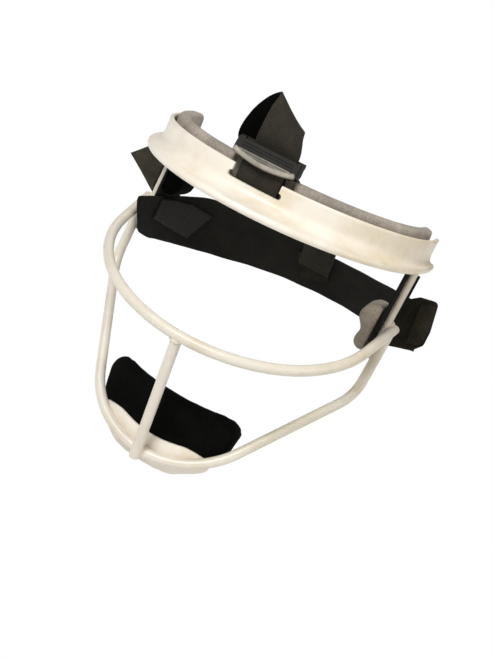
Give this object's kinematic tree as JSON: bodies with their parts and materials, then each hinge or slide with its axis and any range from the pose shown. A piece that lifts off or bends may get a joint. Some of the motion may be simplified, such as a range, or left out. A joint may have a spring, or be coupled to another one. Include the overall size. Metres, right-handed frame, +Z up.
{
  "type": "fastpitch fielder's face mask",
  "caption": "Open wire face guard with a moulded forehead plate, foam forehead, temple and chin pads, a chin cup and an adjustable elastic head strap.",
  "frame": {"origin": "the middle of the wearer's head, level with the ears, where the mount head is", "axes": "+X to the wearer's left, -Y the way the wearer looks, +Z up"},
  "size_m": [0.2368, 0.2091, 0.2301],
  "materials": {
    "painted_wire": "cream-white gloss enamel",
    "white_plastic": "cream-white moulded gloss",
    "pad_fabric": "brushed loop fabric over foam",
    "black_backing": "stiffened black fabric",
    "hook_tape": "black hook tape",
    "webbing": "ribbed black webbing",
    "elastic": "black loop-faced elastic",
    "lock_plastic": "dark grey satin moulding"
  },
  "bodies": {
    "mask_frame": {"eye_bar": "painted_wire", "jaw_bar": "painted_wire", "centre_bar": "painted_wire", "side_rod_left": "painted_wire", "side_rod_right": "painted_wire", "forehead_plate": "white_plastic", "forehead_hook_tape": "hook_tape", "forehead_pad": "pad_fabric", "chin_cup": "white_plastic", "chin_pad": "pad_fabric", "temple_backing_left": "black_backing", "temple_backing_right": "black_backing", "temple_pad_left": "pad_fabric", "temple_pad_right": "pad_fabric"},
    "buckle_loop": {"anchor_loop": "webbing"},
    "buckle": {"ladder_lock": "lock_plastic", "top_strap_fold": "webbing"},
    "head_strap": {"rear_strap": "elastic", "strap_keeper": "webbing", "hook_tab": "hook_tape", "strap_end": "elastic", "hook_patch": "hook_tape"},
    "top_strap": {"top_strap_run": "webbing"},
    "tail": {"strap_tail": "elastic"}
  },
  "joints": [
    {"name": "buckle_loop_swing", "type": "hinge", "parent": "mask_frame", "child": "buckle_loop", "pos_m": [0, -0.0852, 0.086], "axis": [1, 0, 0], "range_deg": [0, 10]},
    {"name": "buckle_swing", "type": "hinge", "parent": "buckle_loop", "child": "buckle", "pos_m": [0, -0.0852, 0.1055], "axis": [1, 0, 0], "range_deg": [0, 10]},
    {"name": "head_strap_swing", "type": "hinge", "parent": "mask_frame", "child": "head_strap", "pos_m": [0, -0.005, 0.025], "axis": [1, 0, 0], "range_deg": [-10, 4]},
    {"name": "top_strap_follow", "type": "hinge", "parent": "head_strap", "child": "top_strap", "pos_m": [0.013, 0.0685, 0.05], "axis": [1, 0, 0], "range_deg": [-2.1, 5.2]},
    {"name": "tail_peel", "type": "hinge", "parent": "head_strap", "child": "tail", "pos_m": [-0.0778, 0.0136, 0.0325], "axis": [0, 0, 1], "range_deg": [-60, 0]}
  ],
  "couplings": [
    {"joint": "top_strap_follow", "follows": "head_strap_swing", "ratio": -0.512}
  ]
}
